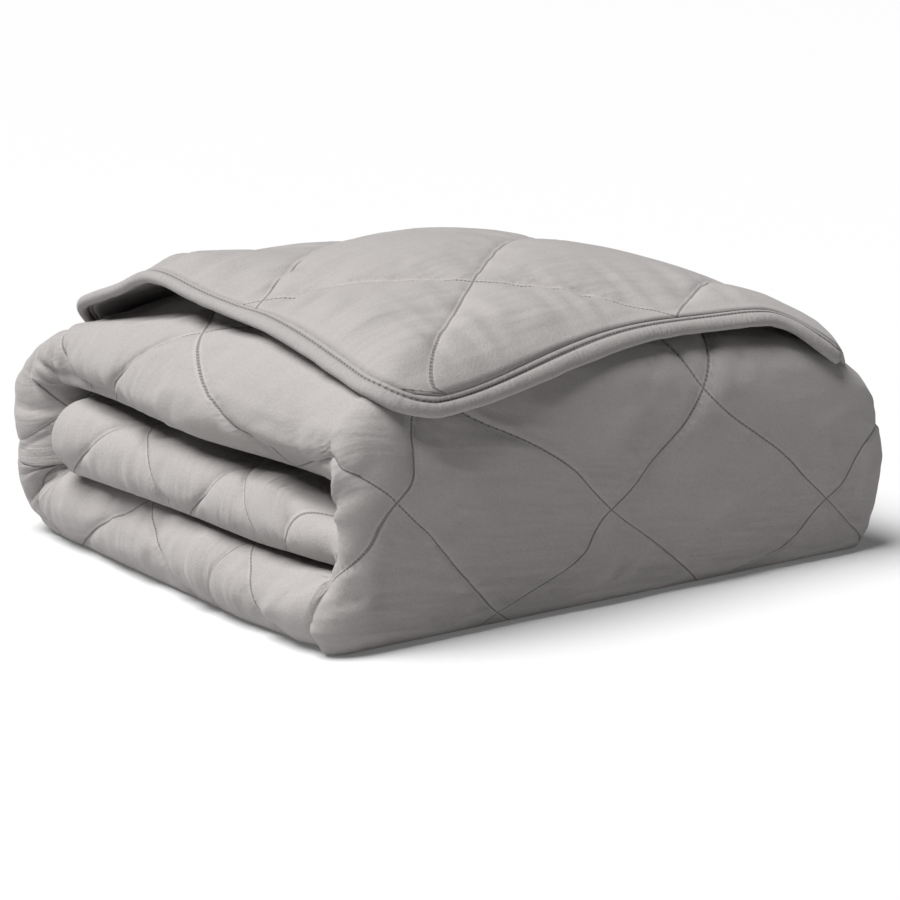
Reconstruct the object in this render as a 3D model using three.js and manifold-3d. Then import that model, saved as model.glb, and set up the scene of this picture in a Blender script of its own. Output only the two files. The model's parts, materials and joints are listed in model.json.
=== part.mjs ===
// A quilted cooling blanket, folded into a bundle that lies on a table.
// Millimetres, +Z up. X runs along the wide front face, +Y points to the back,
// and the origin is under the middle of the bundle, on the surface that it lies on.
//
// The blanket is folded to a thick strip, and the strip goes back and forth in the YZ plane:
// the tongue in the middle, a turn, the bottom, the back, the top and the front, which hangs
// down to the table. Its last ply, the flap, comes up the back and lies over the top, with
// two bound edges and one corner free.
import * as THREE from "three";
import { mergeVertices } from "three/addons/utils/BufferGeometryUtils.js";
import Module from "manifold-3d";

// Driving dimensions.
const layer = {
  tongueTip: 43.4, tongueTurn: 31.6, turn: 38.4, bottom: 44.2, back: 62.7, topBack: 41.9, topFront: 77.2,
  front: 29.5,
};
const under = { tongueTip: 46.3, topBack: 95.2, topFront: 80 };
const layerGap = 3;
const pinchRadius = 3;
const reach = { tip: 134.3, turn: -119.2, back: 161.8, front: -163.8, left: -243.1, right: 235.8 };
const settling = { crown: 0.446, leanX: -0.089, leanY: 0.056, crownX: 256, crownY: 210, bulge: 4.3 };
const bulgeReach = { x: 240, y: 194 };
const shift = { x: 6, y: -22.3 };
const tuck = { capTurn: 1.4, edgeSteps: 9, wideSteps: 21, innerSteps: 3, stationStep: 15.5 };
const quilting = { depth: 5, across: 183, edgeAcross: 160, centre: -110, edgeStart: -0.5 };
const frontWave = { size: 12, tilt: 0.09 };
const flap = {
  thickness: 11,
  edgeThickness: 7,
  edgeTaper: 30,
  gap: 2.5,
  length: 475,
  width: 397,
  pitchAlong: 156,
  pitchAcross: 236,
  stepsPerPitch: 9,
  sunk: 13.5,
  sinkAlong: 70,
  sinkAcross: 25,
};
const hem = {
  front: 1258.5,
  rise: 27.5,
  riseRun: 275,
  drop: 8,
  dropStart: 300,
  dropEnd: 390,
  left: -182.5,
  corner: 28,
  away: 60,
  awayStart: 318,
  awayEnd: 430,
};
const binding = { width: 12.5, thickness: 9, clearance: 0.7, noseSteps: 6 };
const clothColour = 0xaaa6a3;
const bindingColour = 0xa39f9c;

const sideHeight = under.topFront + layer.topFront;
const turnMiddle = layer.bottom + layerGap / 2;

const up = [0, 1];
const down = [0, -1];
const back = [1, 0];
const front = [-1, 0];

// The bends of the strip: the crease that each one turns about, the outward directions before and
// after it, the strip's thickness there, how square its outside is, how far its two side edges
// draw in, and how long their rounding is for its height.
const bends = [
  {
    y: reach.turn, z: turnMiddle, inner: layerGap / 2, from: up, to: front,
    near: layer.tongueTurn, far: layer.turn, square: 5.5, left: 6.9, right: 4, rounding: 1,
  },
  {
    y: reach.turn, z: turnMiddle, inner: layerGap / 2, from: front, to: down,
    near: layer.turn, far: layer.bottom, square: 5.5, left: -5.9, right: 4, rounding: 1,
  },
  {
    y: reach.back, z: layer.bottom + pinchRadius, inner: pinchRadius, from: down, to: back,
    near: layer.bottom, far: layer.back, square: 4.36, left: 17.6, right: 2, rounding: 1,
  },
  {
    y: reach.back, z: under.topBack - pinchRadius, inner: pinchRadius, from: back, to: up,
    near: layer.back, far: layer.topBack, square: 1.51, left: 19.5, right: 2, rounding: 1.1,
  },
  {
    y: reach.front, z: under.topFront - pinchRadius, inner: pinchRadius, from: up, to: front,
    near: layer.topFront, far: layer.front, square: 3.4, left: 24.5, right: 2, rounding: 1.6,
    before: { y: -23, inner: 85.8, outer: 145.7, left: 6.3, right: 2, rounding: 1.3 },
  },
];
const tip = { left: 8.1, right: 4, rounding: 1 };
const tail = { left: 0, right: 0, rounding: 2.2 };

// Where the rows of stitched crossings lie along the strip, and how far the stitch lines between
// two rows bow along it on the side edges.
const rows = [
  { row: -3.2, s: -45, bow: 4 },
  { row: -2.5, s: 71, bow: 4 },
  { row: -1.5, s: 190, bow: 15 },
  { row: -0.5, s: 312, bow: 10 },
  { row: 0, s: 413, bow: 3 },
  { row: 1, s: 564, bow: 3 },
  { row: 2, s: 765, bow: 0 },
  { row: 2.5, s: 785, bow: 0 },
  { row: 3, s: 812, bow: -4 },
  { row: 3.5, s: 893, bow: -8 },
  { row: 4.5, s: 1066, bow: -12 },
  { row: 5, s: 1268, bow: 0 },
  { row: 5.5, s: 1347, bow: 0 },
  { row: 6, s: 1412, bow: 0 },
  { row: 6.5, s: 1480, bow: 0 },
];

// Places where the flap stands off the ply under it.
const lifts = [
  { a: 263, b: 0, height: 14.5, alongA: 42, alongB: 60 },
  { a: 224, b: 0, height: 5, alongA: 60, alongB: 60 },
  { a: 0, b: 322, height: 11, alongA: 60, alongB: 48 },
];

function lerp(a, b, t) {
  return a + (b - a) * t;
}

function clamp(value, low, high) {
  return Math.min(high, Math.max(low, value));
}

function smooth(from, to, value) {
  const t = clamp((value - from) / (to - from), 0, 1);
  return t * t * (3 - 2 * t);
}

// A row of the table at the given value of one of its columns, read between two rows.
function between(table, column, value) {
  let i = 1;
  while (i < table.length - 1 && table[i][column] < value) i += 1;
  const [a, b] = [table[i - 1], table[i]];
  const t = (value - a[column]) / (b[column] - a[column]);
  return Object.fromEntries(Object.keys(a).map((key) => [key, lerp(a[key], b[key], t)]));
}

// The folded strip in the YZ plane: its inner and outer sides, with the outer length s.
function foldedStrip() {
  const samples = [];
  const add = (innerY, innerZ, outerY, outerZ, edge) => {
    const last = samples[samples.length - 1];
    const step = last ? Math.hypot(outerY - last.outerY, outerZ - last.outerZ) : 1;
    if (step < 1e-6) return;
    const { left, right, rounding } = edge;
    samples.push({ s: last ? last.s + step : 0, innerY, innerZ, outerY, outerZ, left, right, rounding });
  };
  add(reach.tip, under.tongueTip, reach.tip, under.tongueTip + layer.tongueTip, tip);
  const steps = 24;
  for (const bend of bends) {
    const { before } = bend;
    if (before) add(before.y, before.inner, before.y, before.outer, before);
    for (let i = 0; i <= steps; i += 1) {
      const angle = (i / steps) * (Math.PI / 2);
      const [c, d] = [Math.cos(angle), Math.sin(angle)].map((v) => clamp(v, 0, 1));
      const [outC, outD] = [c, d].map((v) => v ** (2 / bend.square));
      const inner = [0, 1].map((k) => bend.inner * (bend.from[k] * c + bend.to[k] * d));
      const outer = [0, 1].map((k) => bend.from[k] * (bend.near + bend.inner) * outC
        + bend.to[k] * (bend.far + bend.inner) * outD);
      add(bend.y + inner[0], bend.z + inner[1], bend.y + outer[0], bend.z + outer[1], bend);
    }
  }
  const frontInner = reach.front - pinchRadius;
  add(frontInner, layer.front / 2, frontInner - layer.front, layer.front / 2, tail);
  return samples;
}

const strip = foldedStrip();
const stripLength = strip[strip.length - 1].s;

// The strip's section at the length s, with its side edges averaged over a short run.
function sectionAt(s) {
  const at = between(strip, "s", clamp(s, 0, stripLength));
  for (const key of ["left", "right", "rounding"]) {
    const near = [-30, 0, 30].map((shift) => between(strip, "s", clamp(s + shift, 0, stripLength))[key]);
    at[key] = (near[0] + 2 * near[1] + near[2]) / 4;
  }
  const y = (at.outerY - at.innerY) / 2;
  const z = (at.outerZ - at.innerZ) / 2;
  const half = Math.hypot(y, z);
  const turn = clamp(Math.max(-s, s - stripLength) / half, 0, tuck.capTurn);
  const way = s < 0 ? -1 : 1;
  const shrunk = half * (1 - Math.cos(turn));
  const rise = half * Math.cos(turn);
  const run = rise * at.rounding;
  return {
    normalY: y / half,
    normalZ: z / half,
    middleY: (at.outerY + at.innerY) / 2 - way * (z / half) * half * Math.sin(turn),
    middleZ: (at.outerZ + at.innerZ) / 2 + way * (y / half) * half * Math.sin(turn),
    rise,
    run,
    flatLeft: -(reach.left + at.left + shrunk) - run,
    flatRight: reach.right - at.right - shrunk - run,
    arc: (Math.PI * (run + rise)) / 2,
  };
}

// The weight of the cloth: the middle stands higher, one end lies lower, and the sides bulge.
function settle(x, y, z) {
  const crown = settling.crown * clamp(1 - (x / settling.crownX) ** 2, 0, 1)
    * clamp(1 - (y / settling.crownY) ** 2, 0, 1);
  const lean = (settling.leanX * x) / bulgeReach.x + (settling.leanY * y) / bulgeReach.y;
  const bulge = settling.bulge * Math.sin(Math.PI * clamp(z / sideHeight, 0, 1));
  return new THREE.Vector3(
    x + bulge * (x / bulgeReach.x) ** 3,
    y + bulge * (y / bulgeReach.y) ** 3,
    z * (1 + crown + lean),
  );
}

// A point of the strip's surface, s along its outside and u across it from the middle.
// Past the side edges u runs round them and on over the inner side.
function surface(s, u) {
  const at = sectionAt(s);
  const way = u < 0 ? -1 : 1;
  const flat = u < 0 ? at.flatLeft : at.flatRight;
  const round = clamp((Math.abs(u) - flat) / at.arc, 0, 1) * Math.PI;
  const past = Math.max(0, Math.abs(u) - flat - at.arc);
  const x = Math.abs(u) <= flat ? u : way * (flat + at.run * Math.sin(round) - past);
  const lift = at.rise * Math.cos(round);
  return settle(x, at.middleY + at.normalY * lift, at.middleZ + at.normalZ * lift);
}

// The direction that points out of the cloth at a point of that surface.
function outward(s, u) {
  const step = 2;
  const alongS = surface(s + step, u).sub(surface(s - step, u));
  const alongU = surface(s, u + step).sub(surface(s, u - step));
  return alongS.cross(alongU).normalize();
}

// How deep the quilting draws a point in, from 0 on the crown of a puff to 1 on a stitch line.
function stitchDepth(row, column) {
  const off = [row + column, row - column].map((v) => Math.abs(v - Math.round(v)));
  const height = off.map((v) => 1 - (1 - 2 * v) ** 2);
  return 1 - Math.min(...height);
}

// The row and column of the quilting at a point of the strip.
function quiltingAt(s, u) {
  const tilt = frontWave.tilt * u * smooth(1283, 1338, s);
  const rough = between(rows, "s", s - tilt);
  const wave = frontWave.size * Math.sin(2 * Math.PI * rough.row) ** 2 * smooth(1248, 1298, s);
  const wide = (u - wave - quilting.centre) / quilting.across;
  const edge = quilting.edgeStart + ((wide - quilting.edgeStart) * quilting.across) / quilting.edgeAcross;
  const column = Math.max(wide, quilting.edgeStart) + Math.min(0, edge - quilting.edgeStart);
  const bow = rough.bow * Math.sin(2 * Math.PI * column) ** 2 * smooth(-0.4, -0.6, column);
  return { row: between(rows, "s", s - tilt - bow).row, column };
}

// A closed geometry from rings of points, each ring a loop of the same number of points,
// with the first and the last ring closed by a strip from side to side.
function closedRings(rings) {
  const count = rings[0].length;
  const index = [];
  for (let i = 0; i < rings.length - 1; i += 1) {
    for (let j = 0; j < count; j += 1) {
      const a = i * count + j;
      const b = i * count + ((j + 1) % count);
      index.push(a, a + count, b, b, a + count, b + count);
    }
  }
  const last = (rings.length - 1) * count;
  for (let j = 0, k = count - 1; j + 1 < k; j += 1, k -= 1) {
    index.push(j, j + 1, k);
    index.push(last + j + 1, last + j, last + k);
    if (j + 1 === k - 1) break;
    index.push(j + 1, k - 1, k);
    index.push(last + k - 1, last + j + 1, last + k);
  }
  return new THREE.BufferGeometry().setFromPoints(rings.flat()).setIndex(index);
}

// The folded strip as one closed body, with the quilting drawn in.
function foldedBody() {
  const stations = [];
  const start = (-tuck.capTurn * layer.tongueTip) / 2;
  const end = stripLength + (tuck.capTurn * layer.front) / 2;
  const count = Math.round((end - start) / tuck.stationStep);
  for (let i = 0; i <= count; i += 1) stations.push(lerp(start, end, i / count));
  return closedRings(stations.map((s) => {
    const at = sectionAt(s);
    const across = [];
    for (let i = 0; i < tuck.edgeSteps; i += 1) {
      across.push(-at.flatLeft - at.arc * (1 - i / tuck.edgeSteps));
    }
    for (let i = 0; i <= tuck.wideSteps; i += 1) {
      across.push(lerp(-at.flatLeft, at.flatRight, i / tuck.wideSteps));
    }
    for (let i = 1; i <= tuck.edgeSteps; i += 1) {
      across.push(at.flatRight + (at.arc * i) / tuck.edgeSteps);
    }
    for (let i = 1; i < tuck.innerSteps; i += 1) {
      across.push(at.flatRight + at.arc + ((at.flatLeft + at.flatRight) * i) / tuck.innerSteps);
    }
    return across.map((u) => {
      const point = surface(s, u);
      const out = outward(s, u);
      const flat = u < 0 ? at.flatLeft : at.flatRight;
      const round = (Math.abs(u) - flat) / at.arc;
      const shown = smooth(0.98, 0.7, round) * smooth(-0.97, -0.7, out.z);
      const { row, column } = quiltingAt(s, u);
      return point.addScaledVector(out, -quilting.depth * shown * stitchDepth(row, column));
    });
  }));
}

// The flap's own cloth: a runs back from its front hem, b runs right from its left hem.
function flapPlace(a, b) {
  const corner = hem.corner - Math.sqrt(hem.corner ** 2 - Math.max(0, hem.corner - a) ** 2);
  const away = hem.away * smooth(hem.awayStart, hem.awayEnd, a);
  const front = hem.front - hem.rise * smooth(0, hem.riseRun, b)
    + hem.drop * smooth(hem.dropStart, hem.dropEnd, b);
  return { s: front - a, u: hem.left + b + (corner + away) * (1 - b / flap.width) };
}

function placed({ s, u }, height) {
  return surface(s, u).addScaledVector(outward(s, u), height);
}

// The space under the flap.
function flapGap(a, b) {
  return lifts.reduce((gap, lift) => gap + lift.height
    * Math.exp(-(((a - lift.a) / lift.alongA) ** 2) - ((b - lift.b) / lift.alongB) ** 2), flap.gap);
}

// The share of its height that the flap keeps near its two far edges, where it joins the strip.
function flapFree(a, b) {
  return smooth(flap.length, flap.length - flap.sinkAlong, a)
    * smooth(flap.width, flap.width - flap.sinkAcross, b);
}

// Steps over the flap, closer together round its corner.
function flapSteps(size, pitch, first) {
  const count = Math.round((size / pitch) * flap.stepsPerPitch);
  return [...first, ...Array.from({ length: count }, (_, i) => (size * (i + 1)) / count)];
}

const stepsAlong = flapSteps(flap.length, flap.pitchAlong, [0, 0.6, 2.5, 6, 11]);
const stepsAcross = flapSteps(flap.width, flap.pitchAcross, [0]);

function flapBody() {
  return closedRings(stepsAcross.map((b) => {
    const ring = stepsAlong.map((a) => {
      const edge = smooth(0, flap.edgeTaper, Math.min(a, b));
      const depth = quilting.depth * edge * stitchDepth(a / flap.pitchAlong, b / flap.pitchAcross);
      const free = flapFree(a, b);
      const low = lerp(-flap.sunk, flapGap(a, b), free);
      const full = lerp(flap.edgeThickness, flap.thickness, edge) - depth;
      return { place: flapPlace(a, b), low, high: low + Math.max(full * lerp(0.4, 1, free), 2) };
    });
    const over = ring.map((p) => placed(p.place, p.high));
    const under = ring.map((p) => placed(p.place, p.low)).reverse();
    return [...over, ...under];
  }));
}

// The flap's two bound edges as one path over the strip, with the way past the edge at each point.
function hemPath() {
  const left = stepsAlong.filter((a) => a < flap.length - flap.sinkAlong).reverse();
  const across = stepsAcross.filter((b) => b > 0 && b < flap.width - flap.sinkAcross);
  const path = [...left.map((a) => ({ a, b: 0 })), ...across.map((b) => ({ a: 0, b }))]
    .map((at) => ({ ...at, ...flapPlace(at.a, at.b) }));
  return path.map((at, i) => {
    const before = path[Math.max(i - 1, 0)];
    const after = path[Math.min(i + 1, path.length - 1)];
    const step = Math.hypot(after.s - before.s, after.u - before.u);
    return { ...at, outS: (after.u - before.u) / step, outU: (before.s - after.s) / step };
  });
}

function bindingBody() {
  const nose = binding.thickness / 2;
  const section = [{ out: binding.clearance, rise: -nose * 0.9 }];
  for (let i = 0; i <= binding.noseSteps; i += 1) {
    const angle = (i / binding.noseSteps - 0.5) * Math.PI;
    section.push({ out: binding.width - nose + nose * Math.cos(angle), rise: nose * Math.sin(angle) });
  }
  section.push({ out: binding.clearance, rise: nose * 0.9 });
  return closedRings(hemPath().map((at) => section.map(({ out, rise }) => placed(
    { s: at.s + out * at.outS, u: at.u + out * at.outU },
    flapGap(at.a, at.b) + flap.edgeThickness / 2 + rise,
  ))));
}

const wasm = await Module();
wasm.setup();

function solid(geometry) {
  const merged = mergeVertices(geometry, 1e-4);
  return new wasm.Manifold(new wasm.Mesh({
    numProp: 3,
    vertProperties: new Float32Array(merged.getAttribute("position").array),
    triVerts: new Uint32Array(merged.getIndex().array),
  }));
}

function geometryOf(made) {
  const mesh = made.getMesh();
  const geometry = new THREE.BufferGeometry();
  geometry.setAttribute("position", new THREE.BufferAttribute(new Float32Array(mesh.vertProperties), 3));
  geometry.setIndex(new THREE.BufferAttribute(new Uint32Array(mesh.triVerts), 1));
  geometry.computeVertexNormals();
  return geometry;
}

function cloth(name, made, color) {
  const geometry = geometryOf(made).translate(shift.x, shift.y, 0);
  const material = new THREE.MeshStandardMaterial({ color, roughness: 0.9, metalness: 0 });
  const mesh = new THREE.Mesh(geometry, material);
  mesh.name = name;
  return mesh;
}

const blanket = new THREE.Group();
blanket.add(cloth("quilt", solid(foldedBody()).add(solid(flapBody())), clothColour));
blanket.add(cloth("edge_binding", solid(bindingBody()), bindingColour));

export default blanket;
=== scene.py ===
# A quilted cooling blanket, folded to a thick bundle, with a bound corner flap over the top.
import json
import math
import bmesh
import bpy
import numpy as np
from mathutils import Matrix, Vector

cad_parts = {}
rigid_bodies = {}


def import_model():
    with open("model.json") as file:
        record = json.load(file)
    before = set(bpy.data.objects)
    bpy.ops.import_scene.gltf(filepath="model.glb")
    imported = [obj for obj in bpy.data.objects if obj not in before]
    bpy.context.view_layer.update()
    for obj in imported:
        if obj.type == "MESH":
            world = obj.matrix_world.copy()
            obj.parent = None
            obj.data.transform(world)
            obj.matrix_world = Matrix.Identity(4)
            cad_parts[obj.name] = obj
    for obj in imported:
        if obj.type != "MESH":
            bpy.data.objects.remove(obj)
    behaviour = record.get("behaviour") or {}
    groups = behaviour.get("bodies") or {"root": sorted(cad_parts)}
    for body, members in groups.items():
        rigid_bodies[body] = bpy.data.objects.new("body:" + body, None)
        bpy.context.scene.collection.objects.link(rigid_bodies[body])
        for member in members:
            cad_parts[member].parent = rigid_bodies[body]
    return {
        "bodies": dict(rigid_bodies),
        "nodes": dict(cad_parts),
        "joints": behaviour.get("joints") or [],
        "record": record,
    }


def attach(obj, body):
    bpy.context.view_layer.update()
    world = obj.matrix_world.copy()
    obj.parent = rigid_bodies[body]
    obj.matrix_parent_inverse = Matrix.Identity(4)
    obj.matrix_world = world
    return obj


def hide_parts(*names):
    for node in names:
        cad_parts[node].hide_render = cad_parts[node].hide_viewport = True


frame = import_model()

scene = bpy.context.scene
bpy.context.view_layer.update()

# The fold, in millimetres like the solids: a strip in the YZ plane that goes tongue, turn,
# bottom, back, top and front, with s along its outside and u across it. An edge says how far the
# left and the right side draw in and how round they are, and a bend how square it is and its edge.
fold = {
    "layers": {"tongueTip": 43.4, "tongueTurn": 31.6, "turn": 38.4, "bottom": 44.2, "back": 62.7,
               "topBack": 41.9, "topFront": 77.2, "front": 29.5},
    "under": {"tongueTip": 46.3, "topBack": 95.2, "topFront": 80},
    "gap": 3,
    "pinch": 3,
    "tipY": 134.3,
    "turnY": -119.2,
    "turnCreaseY": -152,
    "straightY": -80,
    "turnReach": (22, -118, -158, 600),
    "turnDraw": (17, -115, -152, 345),
    "backY": 161.8,
    "frontY": -163.8,
    "topMiddle": (-23, 85.8, 145.7),
    "tipEdge": (8.1, 4, 1),
    "tongueEdge": (7.1, 4, 1),
    "bottomEdge": (-2.6, 4, 1),
    "topEdge": (6.3, 2, 1.3),
    "frontEdge": (0, 0, 2.2),
    "bends": ((5.5, (6.9, 4, 1)), (5.5, (-5.9, 4, 1)), (4.36, (17.6, 2, 1)),
              (1.51, (19.5, 2, 1.1)), (3.4, (24.5, 2, 1.6))),
    "edgeBlend": 30,
    "leftX": -243.1,
    "rightX": 235.8,
    "crown": 0.446,
    "crownReach": (256, 210),
    "lean": (-0.089, 0.056),
    "bulge": 4.3,
    "bulgeReach": (240, 194),
    "shift": (6.0, -22.3, 0.0),
    "bendSteps": 40,
    "sampleStep": 4,
    "capTurn": 1.5,
}
metres = 0.001


def smooth(low, high, value):
    t = np.clip((value - low) / (high - low), 0, 1)
    return t * t * (3 - 2 * t)


def bump(value, centre, width):
    return np.exp(-(((value - centre) / width) ** 2))


def curveThrough(value, xs, ys):
    # a smooth curve through the points that never overshoots them
    xs, ys = np.asarray(xs, float), np.asarray(ys, float)
    step = np.diff(xs)
    slope = np.diff(ys) / step
    tangent = np.zeros(len(xs))
    tangent[0], tangent[-1] = slope[0], slope[-1]
    same = slope[:-1] * slope[1:] > 0
    tangent[1:-1][same] = 2 * slope[:-1][same] * slope[1:][same] / (slope[:-1] + slope[1:])[same]
    i = np.clip(np.searchsorted(xs, value) - 1, 0, len(step) - 1)
    t = (value - xs[i]) / step[i]
    t2, t3 = t * t, t * t * t
    return ((2 * t3 - 3 * t2 + 1) * ys[i] + (t3 - 2 * t2 + t) * step[i] * tangent[i]
            + (3 * t2 - 2 * t3) * ys[i + 1] + (t3 - t2) * step[i] * tangent[i + 1])


def foldStrip():
    # the inner and the outer side of the strip, with how far its side edges draw in
    h, under, gap, pinch = fold["layers"], fold["under"], fold["gap"], fold["pinch"]
    up, down, back, front = np.array([(0, 1), (0, -1), (1, 0), (-1, 0)], float)
    turn = (fold["turnY"], h["bottom"] + gap / 2)
    turnCrease = (fold["turnCreaseY"], h["bottom"] + gap / 2)
    backLow = (fold["backY"], h["bottom"] + pinch)
    backHigh = (fold["backY"], under["topBack"] - pinch)
    frontHigh = (fold["frontY"], under["topFront"] - pinch)
    bends = [
        (turn, turnCrease, gap / 2, up, front, h["tongueTurn"], h["turn"]),
        (turn, turnCrease, gap / 2, front, down, h["turn"], h["bottom"]),
        (backLow, backLow, pinch, down, back, h["bottom"], h["back"]),
        (backHigh, backHigh, pinch, back, up, h["back"], h["topBack"]),
        (frontHigh, frontHigh, pinch, up, front, h["topFront"], h["front"]),
    ]
    tipY, tipLow, straightY = fold["tipY"], under["tongueTip"], fold["straightY"]
    tipHigh = tipLow + h["tongueTip"]
    rows = [(tipY, tipLow, tipY, tipHigh, *fold["tipEdge"])]
    for bend, (square, edge) in zip(bends, fold["bends"]):
        centre, crease, inner, before, after, near, far = bend
        if bend is bends[0]:
            ends = (fold["turnY"], tipY)
            insideZ = np.interp(straightY, ends, (h["bottom"] + gap, tipLow))
            outsideZ = np.interp(straightY, ends, (h["bottom"] + gap + h["tongueTurn"], tipHigh))
            rows.append((straightY, insideZ, straightY, outsideZ, *fold["tongueEdge"]))
        elif bend is bends[2]:
            rows.append((straightY, h["bottom"], straightY, 0, *fold["bottomEdge"]))
        elif bend is bends[-1]:
            topY, topLow, topHigh = fold["topMiddle"]
            rows.append((topY, topLow, topY, topHigh, *fold["topEdge"]))
        for angle in np.linspace(0, math.pi / 2, fold["bendSteps"] + 1):
            c, d = abs(math.cos(angle)), abs(math.sin(angle))
            inside = crease + inner * (before * c + after * d)
            outside = (centre + before * (near + inner) * c ** (2 / square)
                       + after * (far + inner) * d ** (2 / square))
            rows.append((*inside, *outside, *edge))
    frontY = fold["frontY"] - pinch
    rows.append((frontY, h["front"] / 2, frontY - h["front"], h["front"] / 2, *fold["frontEdge"]))
    table = np.array(rows)
    step = np.hypot(np.diff(table[:, 2]), np.diff(table[:, 3]))
    kept = np.r_[True, step > 1e-6]
    length, table = np.r_[0, np.cumsum(step)][kept], table[kept]
    fine = np.union1d(length, np.arange(0, length[-1], fold["sampleStep"]))
    table = np.stack([np.interp(fine, length, column) for column in table.T], -1)
    length = fine
    # the tongue and the bottom run on till they meet the front ply
    for key, columns, way in (("turnDraw", (4,), 1), ("turnReach", (0, 2), -1)):
        amount, start, end, runTo = fold[key]
        share = (length < runTo) * smooth(start, end, table[:, 2])
        for column in columns:
            table[:, column] += way * amount * share
    return length, table, under["topFront"] + h["topFront"]


stripS, stripTable, sideHeight = foldStrip()
stripLength = stripS[-1]


def sectionAt(s):
    # the strip at s: its middle, the way out of it, half its thickness and its rounded side edges
    inside = np.clip(s, 0, stripLength)
    innerY, innerZ, outerY, outerZ = [np.interp(inside, stripS, stripTable[:, k]) for k in range(4)]
    left, right, rounding = [
        sum(share * np.interp(np.clip(inside + off, 0, stripLength), stripS, stripTable[:, k])
            for off, share in ((-fold["edgeBlend"], 0.25), (0, 0.5), (fold["edgeBlend"], 0.25)))
        for k in (4, 5, 6)]
    y, z = (outerY - innerY) / 2, (outerZ - innerZ) / 2
    half = np.hypot(y, z)
    turn = np.clip(np.maximum(-s, s - stripLength) / half, 0, fold["capTurn"])
    way = np.where(s < 0, -1.0, 1.0)
    rise = half * np.cos(turn)
    run = rise * rounding
    shrunk = half * (1 - np.cos(turn))
    return {
        "ny": y / half, "nz": z / half, "rise": rise, "run": run,
        "y": (outerY + innerY) / 2 - way * z * np.sin(turn),
        "z": (outerZ + innerZ) / 2 + way * y * np.sin(turn),
        "flatLeft": -(fold["leftX"] + left + shrunk) - run,
        "flatRight": fold["rightX"] - right - shrunk - run,
        "arc": math.pi * (run + rise) / 2,
    }


def settle(x, y, z):
    # the whole bundle's crown, its lean and its bulging sides
    crownX, crownY = fold["crownReach"]
    bulgeX, bulgeY = fold["bulgeReach"]
    crown = fold["crown"] * np.clip(1 - (x / crownX) ** 2, 0, 1) * np.clip(1 - (y / crownY) ** 2, 0, 1)
    lean = fold["lean"][0] * x / bulgeX + fold["lean"][1] * y / bulgeY
    bulge = fold["bulge"] * np.sin(math.pi * np.clip(z / sideHeight, 0, 1))
    place = (x + bulge * (x / bulgeX) ** 3, y + bulge * (y / bulgeY) ** 3, z * (1 + crown + lean))
    return np.stack(place, -1) + np.array(fold["shift"])


def surface(s, u):
    # past the side edges u runs round them and on over the inner side
    s, u = np.broadcast_arrays(np.asarray(s, float), np.asarray(u, float))
    at = sectionAt(s)
    way = np.where(u < 0, -1.0, 1.0)
    flat = np.where(u < 0, at["flatLeft"], at["flatRight"])
    around = np.clip((np.abs(u) - flat) / at["arc"], 0, 1) * math.pi
    past = np.maximum(0, np.abs(u) - flat - at["arc"])
    x = np.where(np.abs(u) <= flat, u, way * (flat + at["run"] * np.sin(around) - past))
    lift = at["rise"] * np.cos(around)
    return settle(x, at["y"] + at["ny"] * lift, at["z"] + at["nz"] * lift)


def outward(s, u, step=1.5):
    alongS = surface(s + step, u) - surface(s - step, u)
    alongU = surface(s, u + step) - surface(s, u - step)
    normal = np.cross(alongS, alongU)
    return normal / np.maximum(np.linalg.norm(normal, axis=-1, keepdims=True), 1e-9)


def raised(s, u, height):
    return surface(s, u) + outward(s, u) * np.asarray(height)[..., None]


def softNoise(x, y, seed):
    # smooth noise between -1 and 1 that changes about once for each unit of x and y
    size = 64
    table = np.random.default_rng(seed).uniform(-1, 1, (size, size))
    x, y = np.broadcast_arrays(np.asarray(x, float), np.asarray(y, float))
    i, j = np.floor(x).astype(int), np.floor(y).astype(int)
    fx, fy = x - i, y - j
    fx, fy = fx * fx * (3 - 2 * fx), fy * fy * (3 - 2 * fy)
    i0, i1, j0, j1 = i % size, (i + 1) % size, j % size, (j + 1) % size
    low = table[i0, j0] * (1 - fx) + table[i1, j0] * fx
    high = table[i0, j1] * (1 - fx) + table[i1, j1] * fx
    return low * (1 - fy) + high * fy


# Quilting: stitch lines run where row + column or row - column is a whole number. A pull is a row
# and a column, how far the pattern is moved there along s and u, and its reach in pattern units.
quilting = {
    "across": 183,
    "edgeAcross": 160,
    "edgeColumn": -0.5,
    "centre": -110,
    "depth": 6.6,
    "leastFull": 0.25,
    "fullPitch": (45, 120),
    "flatRun": (1230, 1330),
    "flatShare": 0.5,
    "creaseShare": 0.5,
    "creaseWidth": 2.6,
    "puckerFade": 7,
    "puckersPerUnit": (13, 1.5),
    "freePuff": (0.12, 0.4),
    "freeShown": (0.3, 0.9),
    "lineSpacing": 110,
    "wave": (2, 12),
    "waveAcross": (10, 6),
    "waveRows": (5.4, 5.6),
    "waveRun": (1248, 1298),
    "tilt": 0.09,
    "tiltRun": (1283, 1338),
    "rows": (-3.2, -2.5, -1.5, -1, -0.75, -0.5, -0.28, 0, 0.5, 1, 2, 2.5, 3, 3.5, 4.5, 5, 5.5, 6, 6.5),
    "places": (-45, 71, 190, 229, 242, 282, 395, 435, 476, 564, 765, 785, 812, 893, 1073, 1272, 1347,
               1412, 1480),
    "bowRows": (-2.5, -1.5, -0.5, 0, 1, 2, 3, 3.5, 4.25, 4.5, 4.75),
    "bows": (4, 15, 10, 3, 3, 0, -4, -8, -10, -12, 0),
    "bowColumns": (-0.4, -0.6),
    "pulls": ((5, -1, -94, 0, 0.5), (5.25, -0.75, 20, 0, 0.22), (5, 0, -21, -44, 0.3),
              (5, 1, 0, -6, 0.3), (5.5, -0.5, 0, 14, 0.3),
              (5.5, 1.5, 0, 12, 0.3), (0.1, -0.9, 0, -16, 0.45)),
}


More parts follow.
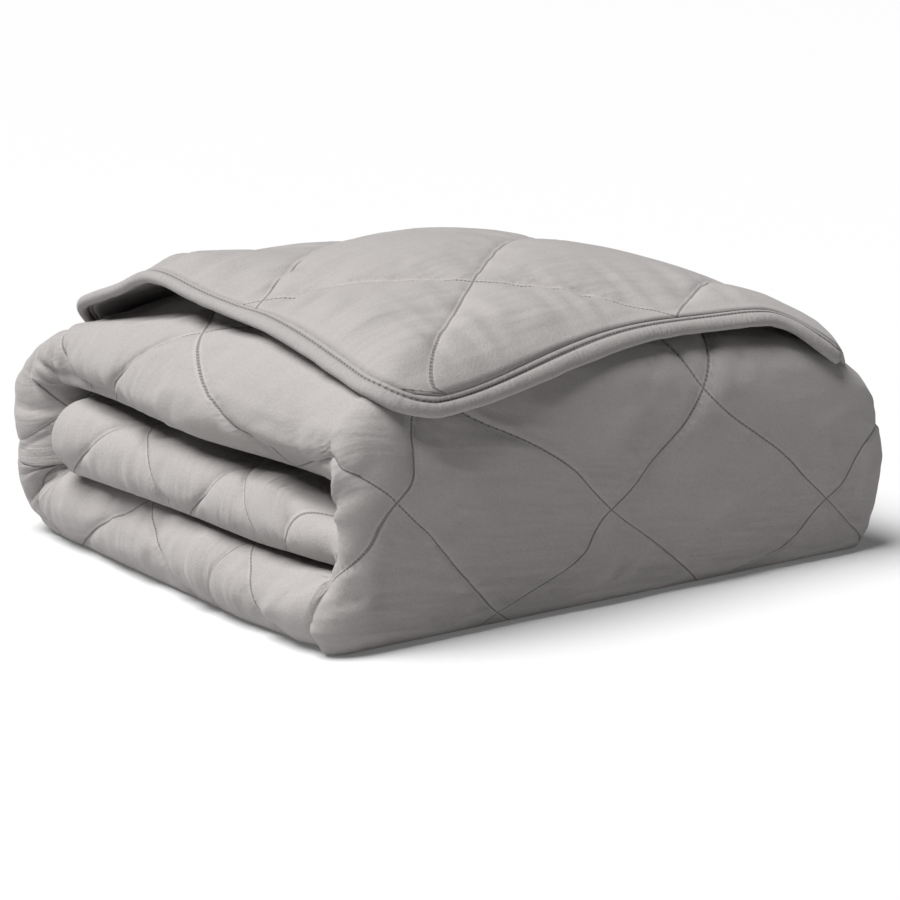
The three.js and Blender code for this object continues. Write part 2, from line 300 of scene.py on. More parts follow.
def quiltPlace(row, column):
    # where a point of the stitch pattern lies on the strip
    row, column = np.broadcast_arrays(np.asarray(row, float), np.asarray(column, float))
    s = curveThrough(row, quilting["rows"], quilting["places"])
    bow = np.interp(row, quilting["bowRows"], quilting["bows"])
    edge = np.minimum(0, column - quilting["edgeColumn"])
    u = quilting["centre"] + quilting["across"] * (column - edge) + quilting["edgeAcross"] * edge
    wave, across = [np.interp(row, quilting["waveRows"], ends)
                    for ends in (quilting["wave"], quilting["waveAcross"])]
    wave = wave + across * np.sin(2 * math.pi * column)
    u = u + wave * np.sin(2 * math.pi * row) ** 2 * smooth(*quilting["waveRun"], s)
    s = s + bow * np.sin(2 * math.pi * column) ** 2 * smooth(*quilting["bowColumns"], column)
    s = s + quilting["tilt"] * u * smooth(*quilting["tiltRun"], s)
    for pullRow, pullColumn, pullS, pullU, reach in quilting["pulls"]:
        share = np.exp(-((row - pullRow) ** 2 + (column - pullColumn) ** 2) / reach ** 2)
        s, u = s + pullS * share, u + pullU * share
    return s, u


def puff(row, column):
    # 0 on a stitch line, 1 in the middle of a puff
    height = 1
    for line in (row + column, row - column):
        off = np.abs(line - np.round(line))
        broad = 1 - (1 - 2 * off) ** 2
        crease = 1 - np.exp(-off * quilting["lineSpacing"] / quilting["creaseWidth"])
        height = height * (quilting["creaseShare"] * crease + (1 - quilting["creaseShare"]) * broad)
    return height


def linePuckers(row, column, seed):
    # small gathers that run out from the stitch lines
    height = 0
    perAlong, perLine = quilting["puckersPerUnit"]
    for line, along in ((row + column, row - column), (row - column, row + column)):
        near = np.exp(-np.abs(line - np.round(line)) * quilting["puckerFade"])
        height = height + near * softNoise(along * perAlong, line * perLine, seed)
        seed = seed + 2
    return height


def stitchCells(rowIndex, columnIndex, perUnit):
    # which cells of a grid a stitch line crosses: 1 and -1 for its two diagonals
    plus = (rowIndex[:-1, None] + columnIndex[None, :-1] + 1) % perUnit == 0
    minus = (rowIndex[:-1, None] - columnIndex[None, :-1]) % perUnit == 0
    return np.where(minus, 1, np.where(plus, -1, 0))


def patternMarks(row, column, pad):
    # each grid point's place on the two families of stitch lines
    return np.stack([np.pad(v, pad, mode="edge") for v in (row + column, row - column)], -1)


shell = {"weld": 0.05, "shortestEdge": 0.01}


def clothShell(name, place, marks, lines, held):
    # a grid folded to a closed shell: place holds each grid point in mm, marks its place in the
    # stitch pattern, lines the cells that a stitch line crosses, and held how firmly the filling's
    # simulation keeps it in place
    rowCount, columnCount = place.shape[:2]
    bm = bmesh.new()
    bmesh.ops.create_grid(bm, x_segments=columnCount - 1, y_segments=rowCount - 1, size=1)
    mesh = bpy.data.meshes.new(name)
    bm.to_mesh(mesh)
    bm.free()
    flat = np.empty(len(mesh.vertices) * 3)
    mesh.vertices.foreach_get("co", flat)
    flat = flat.reshape(-1, 3)
    column = np.rint((flat[:, 0] + 1) / 2 * (columnCount - 1)).astype(int)
    row = np.rint((flat[:, 1] + 1) / 2 * (rowCount - 1)).astype(int)
    mesh.vertices.foreach_set("co", (place[row, column] * metres).ravel())
    heldLayer = mesh.attributes.new("held", "FLOAT", "POINT")
    heldLayer.data.foreach_set("value", held[row, column].astype(np.float32))
    corner = np.empty(len(mesh.loops), int)
    mesh.loops.foreach_get("vertex_index", corner)
    layer = mesh.uv_layers.new(name="stitchPattern")
    layer.data.foreach_set("uv", marks[row, column][corner].ravel())
    bm = bmesh.new()
    bm.from_mesh(mesh)
    bm.verts.ensure_lookup_table()
    indexOf = np.empty((rowCount, columnCount), int)
    indexOf[row, column] = np.arange(len(row))
    if lines is not None:
        for i, j in zip(*np.nonzero(lines)):
            ends = ((i, j), (i + 1, j + 1)) if lines[i, j] > 0 else ((i + 1, j), (i, j + 1))
            a, b = [bm.verts[indexOf[end]] for end in ends]
            shared = [f for f in a.link_faces if f in b.link_faces]
            if shared:
                bmesh.utils.face_split(shared[0], a, b)
    bmesh.ops.remove_doubles(bm, verts=bm.verts, dist=shell["weld"] * metres)
    bmesh.ops.dissolve_degenerate(bm, edges=bm.edges, dist=shell["shortestEdge"] * metres)
    bmesh.ops.holes_fill(bm, edges=[e for e in bm.edges if e.is_boundary], sides=0)
    for face in bm.faces:
        face.smooth = True
    bm.to_mesh(mesh)
    bm.free()
    piece = bpy.data.objects.new(name, mesh)
    scene.collection.objects.link(piece)
    return piece


# The folded panel. Places are s and u, and an "around" goes from 0 to 1 over a rounded side edge and
# is below 0 on the flat. A dent is a place, a depth and its reach along s and u, and a crease runs
# from one place to another and has a depth and a width.
panel = {
    "perUnit": 48,
    "rows": (-3.15, 6.25),
    "columns": (-1.3125, 2.3959),
    "innerColumns": 7,
    "innerMeet": -2,
    "shownAround": (1.0, 0.75),
    "shownDown": (-0.97, -0.7),
    "unevenness": ((60, 75, 1.3), (24, 32, 0.45)),
    "edgeRipple": 1.2,
    "edgeRippleRun": (8, 90),
    "edgeRippleAround": (0.05, 0.45),
    "linePucker": 0.6,
    "dents": ((960, -180, 7, 55, 40),),
    "creases": (((864, -229), (890, -247), 5, 4), ((890, -247), (985, -266), 5, 4),
                ((900, -233), (941, -257), 3, 3.5), ((917, -228), (934, -250), 2.5, 3),
                ((741, -227), (744, -271), 6, 4), ((813, -231), (811, -274), 3, 3.5),
                ((785, -234), (800, -272), 2.5, 3), ((762, -236), (772, -274), 2.5, 3),
                ((832, -232), (832, -270), 2, 3), ((846, -232), (852, -262), 2, 3),
                ((1222, -232), (1214, -252), 2.2, 3), ((1232, -228), (1228, -256), 2.6, 3),
                ((1243, -222), (1242, -256), 3, 3), ((1380, -236), (1372, -210), 2, 3.5)),
    "creaseEnds": ((-0.25, 0.2), (1.25, 0.8)),
    "edgeRows": (1200, 1262, 1280, 1292, 1304, 1316, 1328, 1340, 1352, 1364, 1376, 1382, 1396, 1440),
    "edgeMoves": (0, -12, -13, -9, -8.6, -7, -5, -1, 0, -1, -5, -7, -5, -1),
    "edgeAround": (-1.2, 0.4),
    "cornerRows": (1345, 1378),
    "cornerBack": 3,
    "cornerBackAround": (-0.1, 0.6),
    "cornerOut": 1,
    "cornerOutAround": (-0.6, 0.3),
    "cornerRound": 9,
    "cornerRoundAround": (-1.2, 0.6),
    "roundRows": (1325, 1395),
    "farIn": -9,
    "thinEdge": (4, 14),
    "turnMiddle": 330,
    "turnPlain": (35, 60),
}


def makePanel():
    n = panel["perUnit"]
    rowIndex = np.arange(round(panel["rows"][0] * n), round(panel["rows"][1] * n) + 1)
    columnIndex = np.arange(round(panel["columns"][0] * n), round(panel["columns"][1] * n) + 1)
    row, column = np.meshgrid(rowIndex / n, columnIndex / n, indexing="ij")
    s, u = quiltPlace(row, column)
    firstS = -fold["layers"]["tongueTip"] / 2 * fold["capTurn"]
    lastS = stripLength + fold["layers"]["front"] / 2 * fold["capTurn"]
    s = np.clip(s, firstS, lastS)
    at = sectionAt(s)
    flat = np.where(u < 0, at["flatLeft"], at["flatRight"])
    around = (np.abs(u) - flat) / at["arc"]
    normal = outward(s, u)
    shown = smooth(*panel["shownAround"], around) * smooth(*panel["shownDown"], normal[..., 2])
    pitch = np.gradient(curveThrough(rowIndex / n, quilting["rows"], quilting["places"])) * n
    least = quilting["leastFull"]
    fullness = least + (1 - least) * smooth(*quilting["fullPitch"], pitch)[:, None]
    fullness = fullness * (1 - quilting["flatShare"] * smooth(*quilting["flatRun"], s))
    height = -quilting["depth"] * fullness * (1 - puff(row, column))
    for atS, atU, depth, alongS, alongU in panel["dents"]:
        height = height - depth * bump(s, atS, alongS) * bump(u, atU, alongU)
    startFade, endFade = panel["creaseEnds"]
    for (s0, u0), (s1, u1), depth, width in panel["creases"]:
        run = ((s - s0) * (s1 - s0) + (u - u0) * (u1 - u0)) / ((s1 - s0) ** 2 + (u1 - u0) ** 2)
        share = np.clip(run, 0, 1)
        off = np.hypot(s - s0 - share * (s1 - s0), u - u0 - share * (u1 - u0))
        height = height - depth * np.exp(-off / width) * smooth(*startFade, run) * smooth(*endFade, run)
    for alongS, alongU, size in panel["unevenness"]:
        height = height + size * softNoise(s / alongS, u / alongU, 3)
    edge = smooth(*panel["edgeRippleAround"], around)
    rippleS, rippleU = panel["edgeRippleRun"]
    height = height + panel["edgeRipple"] * edge * softNoise(s / rippleS, u / rippleU, 5)
    height = height + panel["linePucker"] * linePuckers(row, column, 7)
    fromTurn = np.abs(s - panel["turnMiddle"])
    shown = shown * smooth(*panel["thinEdge"], at["rise"]) * smooth(*panel["turnPlain"], fromTurn)
    outer = surface(s, u) + normal * (height * shown)[..., None]
    # the wavy edge of the front ply, whose low corner runs on into the bottom ply
    left = np.where(u < 0, around, panel["farIn"])
    moves = np.interp(s, panel["edgeRows"], panel["edgeMoves"])
    outer[..., 0] += moves * smooth(*panel["edgeAround"], left)
    low = smooth(*panel["cornerRows"], s)
    outer[..., 0] -= panel["cornerOut"] * low * smooth(*panel["cornerOutAround"], left)
    outer[..., 1] += panel["cornerBack"] * low * smooth(*panel["cornerBackAround"], left)
    right = smooth(*panel["cornerRoundAround"], np.where(u > 0, around, panel["farIn"]))
    outer[..., 0] -= panel["cornerRound"] * right * smooth(*panel["roundRows"], s)
    # the inner side closes the ring with a few wide columns
    fractions = (np.arange(panel["innerColumns"]) + 1) / panel["innerColumns"]
    plainS = np.clip(curveThrough(row[:, :1], quilting["rows"], quilting["places"]), firstS, lastS)
    sides = []
    for edgeColumn, way, key in ((0, -1, "flatLeft"), (-1, 1, "flatRight")):
        innerS = s[:, edgeColumn:][:, :1] * (1 - fractions) + plainS * fractions
        at = sectionAt(innerS)
        middle = way * (2 * at[key] + at["arc"] - way * panel["innerMeet"])
        innerU = u[:, edgeColumn:][:, :1] * (1 - fractions) + middle * fractions
        sides.append(surface(innerS, innerU))
    place = np.concatenate([sides[0][:, ::-1], outer, sides[1]], axis=1)
    place[..., 2] = np.maximum(place[..., 2], 0)
    pad = ((0, 0), (panel["innerColumns"], panel["innerColumns"]))
    lines = np.pad(stitchCells(rowIndex, columnIndex, n), pad)
    free = smooth(*quilting["freePuff"], puff(row, column)) * smooth(*quilting["freeShown"], shown)
    held = np.pad(1 - free, pad, constant_values=1)
    return clothShell("quilted_panel", place, patternMarks(row, column, pad), lines, held)


quilt = makePanel()
print("panel made", len(quilt.data.polygons))

# The flap: the last ply, with a running back from its front hem and b right from its left hem.
# A lift is its place in a and b, its height, and how far it reaches along a and along b.
flap = {
    "pitch": (159, 236),
    "perUnit": 48,
    "startCell": -2,
    "length": 475,
    "width": 397,
    "thickness": 11,
    "edgeThickness": 7,
    "edgeTaper": 30,
    "gap": 2.5,
    "depth": 6.5,
    "leastThickness": 2,
    "sunkThickness": 0.4,
    "sunk": 13.5,
    "sinkAlong": 70,
    "reachAcross": 400,
    "sinkAcross": 25,
    "hem": {"front": 1262, "rise": 27.5, "riseRun": 275, "drop": 24, "dropStart": 322, "dropEnd": 398},
    "side": {"left": -187, "corner": 26, "cornerRun": 130, "away": 75, "awayStart": 350, "awayEnd": 440},
    "lifts": ((0, 394, -6, 60, 24), (263, 0, 14.5, 42, 60), (224, 0, 5, 60, 60),
              (0, 322, 8, 60, 48), (330, 0, 4, 45, 60), (398, 0, -5, 42, 70)),
    "unevenness": ((60, 75, 1.0), (25, 30, 0.35)),
    "sidePucker": {"run": (11, 90), "height": 5.5, "fade": 60},
    "frontPucker": {"run": (50, 9), "height": 3.3, "fade": 40},
    "linePucker": 1.2,
}


def flapPlace(a, b):
    # where a point of the flap lies on the strip, with its curved hem and its rounded corner
    hem, side = flap["hem"], flap["side"]
    near = np.maximum(0, side["corner"] - np.maximum(a, 0))
    corner = side["corner"] - np.sqrt(side["corner"] ** 2 - near ** 2)
    corner = corner * np.maximum(0, 1 - b / side["cornerRun"]) ** 2
    away = side["away"] * smooth(side["awayStart"], side["awayEnd"], a)
    front = (hem["front"] - hem["rise"] * smooth(0, hem["riseRun"], b)
             + hem["drop"] * smooth(hem["dropStart"], hem["dropEnd"], b))
    return front - a, side["left"] + b + corner + away * (1 - b / flap["width"])


def flapGap(a, b):
    # how high the flap's underside lies over the cloth below it
    return flap["gap"] + sum(height * bump(a, atA, alongA) * bump(b, atB, alongB)
                             for atA, atB, height, alongA, alongB in flap["lifts"])


def makeFlap():
    n = flap["perUnit"]
    pitchA, pitchB = flap["pitch"]
    rowIndex = np.arange(int(flap["length"] / pitchA * n) + 1)
    columnIndex = flap["startCell"] + np.arange(int(flap["reachAcross"] / pitchB * n) + 1)
    row, column = np.meshgrid(rowIndex / n, columnIndex / n, indexing="ij")
    a, b = row * pitchA, (column - flap["startCell"] / n) * pitchB
    free = (smooth(flap["length"], flap["length"] - flap["sinkAlong"], a)
            * smooth(flap["reachAcross"], flap["reachAcross"] - flap["sinkAcross"], b))
    edge = smooth(0, flap["edgeTaper"], np.minimum(a, b))
    low = flap["sunk"] * (free - 1) + flapGap(a, b) * free
    full = flap["edgeThickness"] * (1 - edge) + flap["thickness"] * edge
    full = full - flap["depth"] * edge * (1 - puff(row, column))
    full = full + edge * sum(size * softNoise(a / alongA, b / alongB, seed)
                             for seed, (alongA, alongB, size) in enumerate(flap["unevenness"], 13))
    for pucker, fromHem, seed in ((flap["sidePucker"], b, 15), (flap["frontPucker"], a, 16)):
        gathers = softNoise(a / pucker["run"][0], b / pucker["run"][1], seed)
        full = full + pucker["height"] * edge * gathers * np.exp(-fromHem / pucker["fade"])
    full = full + edge * flap["linePucker"] * linePuckers(row, column, 17)
    sunk = flap["sunkThickness"]
    high = low + np.maximum(full * (sunk + (1 - sunk) * free), flap["leastThickness"])
    s, u = flapPlace(a, b)
    normal = outward(s, u)
    base = surface(s, u)
    over, under, middle = [base + normal * h[..., None] for h in (high, low, (high + low) / 2)]
    # both faces and the closed edges, as one ring of rows
    top = np.concatenate([middle[:, :1], over, middle[:, -1:]], axis=1)
    bottom = np.concatenate([middle[:, :1], under, middle[:, -1:]], axis=1)[::-1]
    ends = [np.pad(middle[k:k + 1], ((0, 0), (1, 1), (0, 0)), mode="edge") for k in (0, -1)]
    place = np.concatenate([ends[0], top, ends[1], bottom, ends[0]], axis=0)
    marks = patternMarks(row, column, ((1, 1), (1, 1)))
    marks = np.concatenate([marks[:-1], marks[::-1], marks[:1]], axis=0)
    crossed = stitchCells(rowIndex, columnIndex, n)
    lines = np.zeros((place.shape[0] - 1, place.shape[1] - 1))
    lines[1:1 + crossed.shape[0], 1:1 + crossed.shape[1]] = crossed
    held = np.ones(place.shape[:2])
    loose = smooth(*quilting["freePuff"], puff(row, column)) * edge
    held[1:1 + len(row), 1:-1] = 1 - loose * smooth(*quilting["freeShown"], free)
    return clothShell("corner_flap", place, marks[:place.shape[0]], lines, held)


flapPiece = makeFlap()
print("flap made", len(flapPiece.data.polygons))

# The binding: a tape sewn over the flap's two free edges, its section in mm past the edge.
tape = {
    "step": 2.5,
    "end": (394, 375),
    "edgePoints": 200,
    "cornerStart": 30,
    "cornerPoints": 60,
    "upper": ((-1.6, 3.0), (-0.6, 2.3), (0.3, 3.1), (1.3, 3.5), (2.2, 3.2), (2.8, 2.2), (3.5, 3.3),
              (4.8, 4.1), (6.4, 4.2), (7.9, 3.7), (9.1, 2.6), (9.8, 1.3), (10.0, 0)),
    "rollFrom": (4, 9),
    "waver": {"run": (14, 8), "height": 0.35},
    "swell": {"run": (9, 5), "share": 0.12},
}


def hemPath():
    # the free edges as evenly spaced points, with the way out of the cloth at each
    corner, points = tape["cornerStart"], tape["edgePoints"]
    turn = np.linspace(0, math.pi / 2, tape["cornerPoints"])[1:]
    a = np.concatenate([np.linspace(tape["end"][0], corner, points), corner * (1 - np.sin(turn))])
    b = np.linspace(0, tape["end"][1], points)[1:]
    a, b = np.concatenate([a, np.zeros(len(b))]), np.concatenate([np.zeros(len(a)), b])
    s, u = flapPlace(a, b)
    length = np.r_[0, np.cumsum(np.hypot(np.diff(s), np.diff(u)))]
    even = np.arange(0, length[-1], tape["step"])
    a, b, s, u = [np.interp(even, length, v) for v in (a, b, s, u)]
    ds, du = np.gradient(s), np.gradient(u)
    step = np.hypot(ds, du)
    return {"along": even, "a": a, "b": b, "s": s, "u": u, "outS": du / step, "outU": -ds / step}


def tapePoint(path, out, rise):
    # points out past the edge and rise above the middle of the flap's edge
    s = path["s"] + out * path["outS"]
    u = path["u"] + out * path["outU"]
    return raised(s, u, flapGap(path["a"], path["b"]) + flap["edgeThickness"] / 2 + rise)


def makeTape():
    path = {key: value[:, None] for key, value in hemPath().items()}
    upper = np.array(tape["upper"])
    lower = upper[::-1] * (1, -1)
    section = np.concatenate([upper, lower[1:], upper[:1]])
    out, rise = section[None, :, 0], section[None, :, 1]
    roll = smooth(*tape["rollFrom"], out)
    (waverAlong, waverOut), (swellAlong, swellRise) = tape["waver"]["run"], tape["swell"]["run"]
    waver = tape["waver"]["height"] * softNoise(path["along"] / waverAlong, out / waverOut, 21) * roll
    swell = tape["swell"]["share"] * softNoise(path["along"] / swellAlong, rise / swellRise, 22) * roll
    place = tapePoint(path, out + waver, rise * (1 + swell))
    marks = np.stack(np.broadcast_arrays(path["along"], out), -1) * metres
    return clothShell("bound_edge", place, marks, None, np.ones(place.shape[:2]))


tapePiece = makeTape()
print("binding made", len(tapePiece.data.polygons))

for piece, slot, nodes in ((quilt, "quilted_cloth", ("quilt",)), (flapPiece, "quilted_cloth", ()),
                           (tapePiece, "binding_cloth", ("edge_binding",))):
    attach(piece, "root")
    if nodes:
        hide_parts(*nodes)
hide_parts("quilt")


# Materials. The quilted cloth's line and painted rim highlight widths are in mm and the binding's in
# metres.
def calc(tree, operation, *values):
    node = tree.nodes.new("ShaderNodeMath")
    node.operation = operation
    for socket, value in zip(node.inputs, values):
        if isinstance(value, (int, float)):
            socket.default_value = value
        else:
            tree.links.new(value, socket)
    return node.outputs[0]


def between(tree, value, low, high):
    # 0 up to low, 1 from high on, and smooth between them; low may be the larger one
    node = tree.nodes.new("ShaderNodeMapRange")
    node.interpolation_type = "SMOOTHSTEP"
    node.inputs["From Min"].default_value = min(low, high)
    node.inputs["From Max"].default_value = max(low, high)
    node.inputs["To Min"].default_value = 0 if low < high else 1
    node.inputs["To Max"].default_value = 1 if low < high else 0
    tree.links.new(value, node.inputs["Value"])
    return node.outputs["Result"]


def noise(tree, vector, scale, detail):
    node = tree.nodes.new("ShaderNodeTexNoise")
    node.inputs["Scale"].default_value = scale
    node.inputs["Detail"].default_value = detail
    tree.links.new(vector, node.inputs["Vector"])
    return node.outputs["Fac"]


def stretchedNoise(tree, sides, scales, detail):
    # noise on a piece's own map, with a scale for each of its two coordinates
    spread = tree.nodes.new("ShaderNodeCombineXYZ")
    for socket, side, scale in zip(spread.inputs, sides, scales):
        tree.links.new(calc(tree, "MULTIPLY", side, scale), socket)
    return noise(tree, spread.outputs["Vector"], 1, detail)


def newMaterial(name, colour, rough):
    material = bpy.data.materials.new(name)
    material.use_nodes = True
    shader = material.node_tree.nodes["Principled BSDF"]
    shader.inputs["Base Color"].default_value = (*colour, 1)
    shader.inputs["Roughness"].default_value = rough
    return material, shader


def mapParts(tree):
    # the two coordinates of the piece's own map
    uvMap = tree.nodes.new("ShaderNodeUVMap")
    uvMap.uv_map = "stitchPattern"
    parts = tree.nodes.new("ShaderNodeSeparateXYZ")
    tree.links.new(uvMap.outputs["UV"], parts.inputs["Vector"])
    return parts.outputs["X"], parts.outputs["Y"]


def dressCloth(tree, shader, cloth, groove, thread, weave, rimHighlight=None):
    # colour, roughness and relief from a stitch groove, the thread in it and the weave; the groove's
    # darkening is painted shade, and the band along its rim is a painted highlight
    place = tree.nodes.new("ShaderNodeTexCoord").outputs["Object"]
    mottle = noise(tree, place, cloth["mottleScale"], detail=2)
    broad = calc(tree, "SUBTRACT", noise(tree, place, cloth["broadScale"], detail=1), 0.5)
    shade = calc(tree, "MULTIPLY_ADD", calc(tree, "SUBTRACT", mottle, 0.5), cloth["mottle"], 1)
    shade = calc(tree, "ADD", shade, calc(tree, "MULTIPLY", broad, cloth["broad"]))
    # painted shade: the stitch groove is darkened where shade falls in the crease
    shade = calc(tree, "SUBTRACT", shade, calc(tree, "MULTIPLY", groove, cloth["grooveShade"]))
    shade = calc(tree, "ADD", shade, calc(tree, "MULTIPLY", thread, cloth["threadShade"]))
    if rimHighlight is not None:
        # painted highlight: the band along each groove's rim is made lighter
        shade = calc(tree, "ADD", shade, calc(tree, "MULTIPLY", rimHighlight, cloth["rimHighlightStrength"]))
    tint = tree.nodes.new("ShaderNodeVectorMath")
    tint.operation = "SCALE"
    tint.inputs[0].default_value = cloth["colour"]
    tree.links.new(shade, tint.inputs["Scale"])
    tree.links.new(tint.outputs[0], shader.inputs["Base Color"])
    smoothest = cloth["rough"] - cloth["roughRange"] / 2
    rough = calc(tree, "MULTIPLY_ADD", mottle, cloth["roughRange"], smoothest)
    tree.links.new(rough, shader.inputs["Roughness"])
    shader.inputs["Sheen Weight"].default_value = cloth["sheen"]
    shader.inputs["Sheen Roughness"].default_value = cloth["sheenRoughness"]
    height = calc(tree, "MULTIPLY", mottle, cloth["mottleHeight"])
    height = calc(tree, "ADD", height, calc(tree, "MULTIPLY", weave, cloth["weaveHeight"]))
    height = calc(tree, "SUBTRACT", height, calc(tree, "MULTIPLY", groove, cloth["grooveDepth"]))
    height = calc(tree, "ADD", height, calc(tree, "MULTIPLY", thread, cloth["threadHeight"]))
    relief = tree.nodes.new("ShaderNodeBump")
    relief.inputs["Strength"].default_value = 1
    relief.inputs["Distance"].default_value = metres
    tree.links.new(height, relief.inputs["Height"])
    tree.links.new(relief.outputs["Normal"], shader.inputs["Normal"])


clothLook = {
    "colour": (0.31, 0.2925, 0.2865),
    "rough": 0.86,
    "roughRange": 0.16,
    "sheen": 0.15,
    "sheenRoughness": 0.5,
    "mottleScale": 620,
    "mottle": 0.28,
    "mottleHeight": 0.28,
    "broadScale": 14,
    "broad": 0.06,
    "grooveShade": 0.55,
    "grooveDepth": 0.5,
    "threadShade": 0.22,
    "threadHeight": 0.4,
    "rimHighlightStrength": 0.13,
    "rimHighlightWidth": (1.0, 2.2),
    "weaveHeight": 0.05,
    "lineWidth": (0.35, 0.9),
    "stitchGap": (0.12, 0.2),
    "stitchesPerUnit": 50,
    "yarnsPerUnit": (330, 400),
    "ripplesPerUnit": (17, 3),
    "rippleHeight": 1.5,
}


def quiltedCloth():
    material, shader = newMaterial("quiltedCloth", clothLook["colour"], clothLook["rough"])
    tree = material.node_tree
    sides = mapParts(tree)
    groove, rimHighlight, thread = [], [], []
    for across, along in (sides, sides[::-1]):
        off = calc(tree, "MULTIPLY", calc(tree, "PINGPONG", across, 0.5), float(quilting["lineSpacing"]))
        line = between(tree, off, clothLook["lineWidth"][1], clothLook["lineWidth"][0])
        beat = calc(tree, "PINGPONG", calc(tree, "MULTIPLY", along, clothLook["stitchesPerUnit"]), 0.5)
        groove.append(line)
        # a band beside each line that carries the painted highlight
        rimHighlight.append(between(tree, off, clothLook["rimHighlightWidth"][1], clothLook["rimHighlightWidth"][0]))
        thread.append(calc(tree, "MULTIPLY", line, between(tree, beat, *clothLook["stitchGap"])))
    # the yarns run along rows and columns, which are half the sum and half the difference of the map
    yarns = [math.pi * perUnit for perUnit in clothLook["yarnsPerUnit"]]
    row = calc(tree, "MULTIPLY", calc(tree, "ADD", *sides), yarns[0] / 2)
    column = calc(tree, "MULTIPLY", calc(tree, "SUBTRACT", *sides), yarns[1] / 2)
    weave = calc(tree, "MULTIPLY", calc(tree, "SINE", row), calc(tree, "SINE", column))
    scales = [ripples / perUnit for ripples, perUnit in zip(clothLook["ripplesPerUnit"], yarns)]
    ripple = stretchedNoise(tree, (row, column), scales, detail=1)
    height = clothLook["rippleHeight"] / clothLook["weaveHeight"]
    weave = calc(tree, "MULTIPLY_ADD", ripple, height, weave)
    groove, rimHighlight, thread = [calc(tree, "MAXIMUM", *parts) for parts in (groove, rimHighlight, thread)]
    dressCloth(tree, shader, clothLook, groove, thread, weave, calc(tree, "SUBTRACT", rimHighlight, groove))
    return material


bindingLook = dict(clothLook)
bindingLook.update({
    "colour": (0.285, 0.2695, 0.2645),
    "seams": (-0.0006, 0.0028),
    "lineWidth": (0.0003, 0.0008),
    "stitchesPerMetre": 330,
    "yarnsPerMetre": 1900,
    "wrinkleScale": (420, 110),
    "wrinkleHeight": 0.9,
})


def bindingCloth():
    material, shader = newMaterial("bindingCloth", bindingLook["colour"], bindingLook["rough"])
    tree = material.node_tree
    along, out = mapParts(tree)
    beat = calc(tree, "PINGPONG", calc(tree, "MULTIPLY", along, bindingLook["stitchesPerMetre"]), 0.5)
    stitched = between(tree, beat, *bindingLook["stitchGap"])
    lines = []
    for seam in bindingLook["seams"]:
        off = calc(tree, "ABSOLUTE", calc(tree, "SUBTRACT", out, seam))
        lines.append(between(tree, off, bindingLook["lineWidth"][1], bindingLook["lineWidth"][0]))
    # the two seam rows, darkened later as painted shade in their creases
    groove = calc(tree, "MAXIMUM", *lines)
    yarns = [calc(tree, "SINE", calc(tree, "MULTIPLY", side, math.pi * bindingLook["yarnsPerMetre"]))
             for side in (along, out)]
    wrinkle = stretchedNoise(tree, (along, out), bindingLook["wrinkleScale"], detail=2)
    height = bindingLook["wrinkleHeight"] / bindingLook["weaveHeight"]
    weave = calc(tree, "MULTIPLY_ADD", wrinkle, height, calc(tree, "MULTIPLY", *yarns))
    dressCloth(tree, shader, bindingLook, groove, calc(tree, "MULTIPLY", groove, stitched), weave)
    return material


clothMaterial = quiltedCloth()
quilt.data.materials.append(clothMaterial)
flapPiece.data.materials.append(clothMaterial)
tapePiece.data.materials.append(bindingCloth())
print("materials made")

# The filling, blown up by a cloth simulation that is held along the stitch lines. Its movement is
# cut to "most", in metres, so that the layers don't meet.
filling = {"pressure": 4.0, "growth": 0.004, "frames": 10, "most": 0.0015, "quality": 3, "levels": 20}


def fill(piece):
    # runs the simulation and keeps its last frame as the piece's own mesh
    mesh = piece.data
    held = np.empty(len(mesh.vertices), np.float32)
    mesh.attributes["held"].data.foreach_get("value", held)
    stitches = piece.vertex_groups.new(name="stitches")
    for level in range(filling["levels"] + 1):
        chosen = np.nonzero(np.rint(held * filling["levels"]) == level)[0]
        stitches.add(chosen.tolist(), level / filling["levels"], "REPLACE")
    cloth = piece.modifiers.new("filling", "CLOTH")
    cloth.settings.quality = filling["quality"]
    cloth.settings.vertex_group_mass = stitches.name
    cloth.settings.use_pressure = True
    cloth.settings.uniform_pressure_force = filling["pressure"]
    cloth.settings.shrink_min = -filling["growth"]
    cloth.settings.effector_weights.gravity = 0
    cloth.collision_settings.use_collision = False
    for frame in range(1, filling["frames"] + 1):
        scene.frame_set(frame)
        shaped = piece.evaluated_get(bpy.context.evaluated_depsgraph_get())
    before, after = np.empty((2, len(mesh.vertices) * 3), np.float32)
    mesh.vertices.foreach_get("co", before)
    shaped.data.vertices.foreach_get("co", after)
    move = (after - before).reshape(-1, 3)
    size = np.linalg.norm(move, axis=1, keepdims=True)
    move = move * np.minimum(1, filling["most"] / np.maximum(size, 1e-9))
    piece.modifiers.remove(cloth)
    mesh.vertices.foreach_set("co", before + move.ravel())
    mesh.update()
    scene.frame_set(1)
    print(piece.name, "filled, moved at most", round(float(size.max()) / metres, 1), "mm")


fill(quilt)
fill(flapPiece)

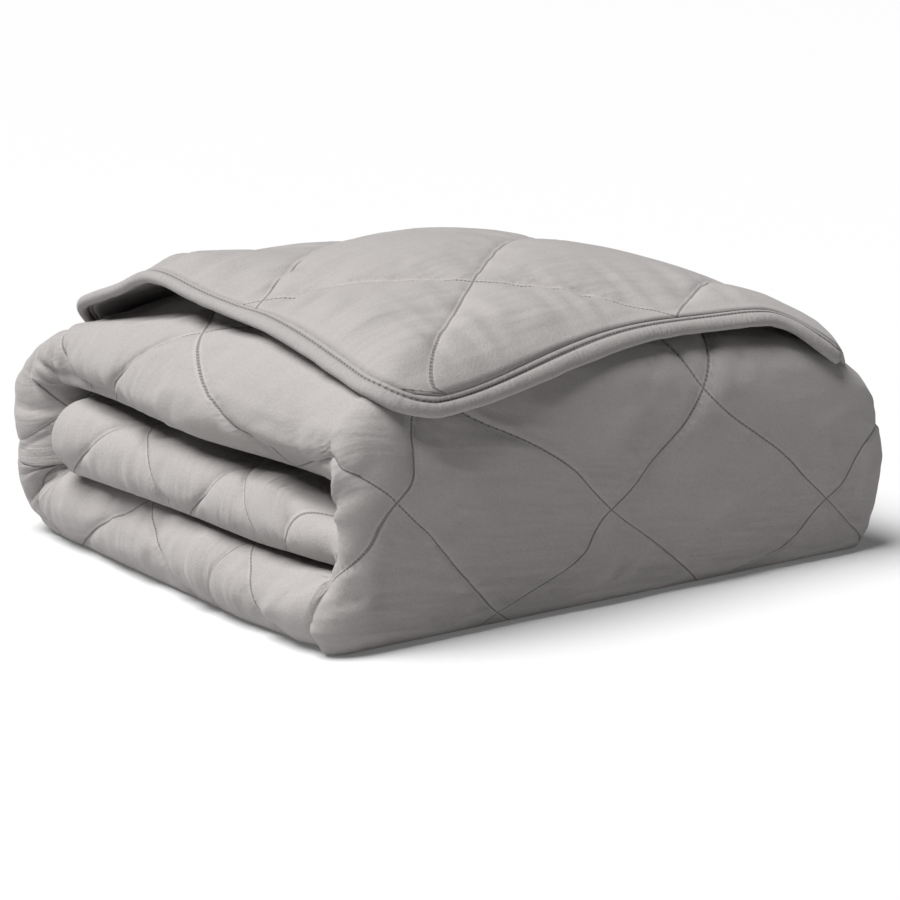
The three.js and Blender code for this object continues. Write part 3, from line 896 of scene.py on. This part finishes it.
# The stage, the light and the camera.
white = (1, 1, 1, 1)
stage = {"size": 8.0, "colour": (0.53, 0.53, 0.53), "roughness": 0.9, "glow": 0.1}
bm = bmesh.new()
bmesh.ops.create_grid(bm, x_segments=1, y_segments=1, size=stage["size"])
floorMesh = bpy.data.meshes.new("floor")
bm.to_mesh(floorMesh)
bm.free()
floor = bpy.data.objects.new("floor", floorMesh)
scene.collection.objects.link(floor)
floorMaterial, floorShader = newMaterial("paleFloor", stage["colour"], stage["roughness"])
floorShader.inputs["Emission Color"].default_value = white
floorShader.inputs["Emission Strength"].default_value = stage["glow"]
floor.data.materials.append(floorMaterial)

sun = {"from": (-0.41, 0.12, 0.90), "strength": 5.9, "softness": 40, "skyStrength": 0.02}
sunData = bpy.data.lights.new("softSun", "SUN")
sunData.energy = sun["strength"]
sunData.angle = math.radians(sun["softness"])
sunLight = bpy.data.objects.new("softSun", sunData)
sunLight.rotation_euler = Vector(sun["from"]).to_track_quat("Z", "Y").to_euler()
scene.collection.objects.link(sunLight)
world = bpy.data.worlds.new("studio")
world.use_nodes = True
world.node_tree.nodes["Background"].inputs["Color"].default_value = white
world.node_tree.nodes["Background"].inputs["Strength"].default_value = sun["skyStrength"]
scene.world = world
scene.view_settings.view_transform = "Standard"

view = {"lens": 135, "azimuth": -37.68, "elevation": 12.18, "distance": 2.364,
        "target": (0.006, -0.0223, 0.09), "shift": (0.2, -31.7), "photoWidth": 900}
azimuth, elevation = math.radians(view["azimuth"]), math.radians(view["elevation"])
away = Vector((math.sin(azimuth) * math.cos(elevation), -math.cos(azimuth) * math.cos(elevation),
               math.sin(elevation)))
cameraData = bpy.data.cameras.new("camera")
cameraData.lens = view["lens"]
cameraData.shift_x, cameraData.shift_y = [shift / view["photoWidth"] for shift in view["shift"]]
camera = bpy.data.objects.new("camera", cameraData)
camera.location = Vector(view["target"]) + away * view["distance"]
camera.rotation_euler = away.to_track_quat("Z", "Y").to_euler()
scene.collection.objects.link(camera)
scene.camera = camera

print("stage and camera made")
